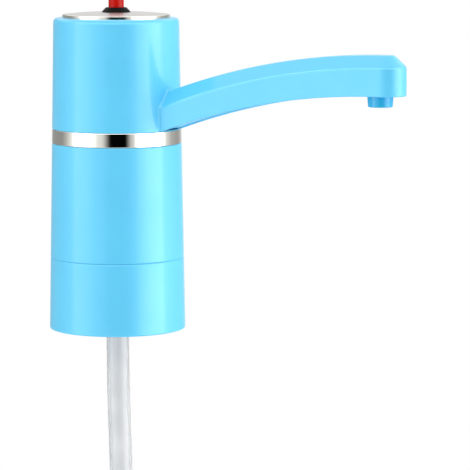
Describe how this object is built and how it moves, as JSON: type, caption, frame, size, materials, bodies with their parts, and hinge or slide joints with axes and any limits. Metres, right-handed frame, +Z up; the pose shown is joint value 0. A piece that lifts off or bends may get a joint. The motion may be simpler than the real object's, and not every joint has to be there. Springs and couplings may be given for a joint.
{
  "type": "electric water jug pump",
  "caption": "Tapered round pump that clips over a jug's neck, with a curved spout, a press button on top, a hidden battery motor pump and a hanging suction hose.",
  "frame": {"origin": "on the body's axis, at the seat of the jug's neck rim under the grip ring's flange", "axes": "+Z up along the body's axis, +X along the spout"},
  "size_m": [0.2049, 0.0718, 0.5543],
  "materials": {
    "body_plastic": "glossy moulded ABS",
    "chrome_trim": "bright plated",
    "black_plastic": "glossy moulded",
    "button_red": "glossy moulded",
    "steel": "bright zinc plated",
    "silicone": "translucent food-grade silicone",
    "white_plastic": "natural acetal and ABS",
    "diaphragm_rubber": "black moulded rubber",
    "valve_rubber": "soft moulded rubber",
    "copper": "copper and copper graphite",
    "bronze": "sintered bronze",
    "phenolic": "moulded phenolic",
    "ferrite": "sintered ferrite",
    "cell_wrap": "printed-free shrink sleeve",
    "board_green": "solder mask",
    "component_black": "moulded epoxy",
    "lamp_lens": "diffused lamp"
  },
  "bodies": {
    "pump_body": {"base_collar": "body_plastic", "lower_shell": "body_plastic", "upper_shell": "body_plastic", "spout_shell": "body_plastic", "spout_cover": "body_plastic", "spout_nozzle": "body_plastic", "trim_ring": "chrome_trim", "top_plate": "chrome_trim", "grip_ring": "black_plastic", "switch_body": "black_plastic", "pump_housing": "black_plastic", "charge_jack": "black_plastic", "grip_screws": "steel", "spout_screws": "steel", "deck_screws": "steel", "motor_screws": "steel", "pump_screws": "steel", "switch_nut": "steel", "lock_washer": "steel", "switch_terminals": "steel", "motor_can": "steel", "button_spring": "steel", "battery_tabs": "steel", "suction_hose": "silicone", "outlet_hose": "silicone", "inlet_tube": "silicone", "pump_deck": "white_plastic", "motor_endcap": "white_plastic", "valve_plate": "white_plastic", "pump_cover": "white_plastic", "diaphragm": "diaphragm_rubber", "inlet_valves": "valve_rubber", "outlet_valve": "valve_rubber", "motor_brushes": "copper", "shaft_bushes": "bronze", "switch_base": "phenolic", "motor_magnets": "ferrite", "battery_cell": "cell_wrap", "charge_board": "board_green", "board_components": "component_black", "charge_lamp": "lamp_lens"},
    "button": {"button_cap": "button_red", "moving_contact": "copper"},
    "rotor": {"motor_shaft": "steel", "armature_core": "steel", "armature_windings": "copper", "commutator": "copper", "eccentric": "white_plastic", "crank_pin": "steel"},
    "wobble": {"wobble_plate": "white_plastic"}
  },
  "joints": [
    {"name": "button_press", "type": "slide", "parent": "pump_body", "child": "button", "axis": [0, 0, -1], "range_m": [0, 0.0026], "stiffness_N_per_m": 400, "springref_m": -0.004, "deforming": ["button_spring"]},
    {"name": "motor_spin", "type": "hinge", "parent": "pump_body", "child": "rotor", "pos_m": [-0.008, 0, 0.0519], "axis": [0, 0, 1], "continuous": true, "deforming": ["diaphragm"]},
    {"name": "wobble_nutate", "type": "hinge", "parent": "rotor", "child": "wobble", "pos_m": [-0.008, 0, 0.0361], "axis": [0.1045, 0, 0.9945], "continuous": true}
  ],
  "couplings": [
    {"joint": "wobble_nutate", "follows": "motor_spin", "ratio": -1}
  ]
}
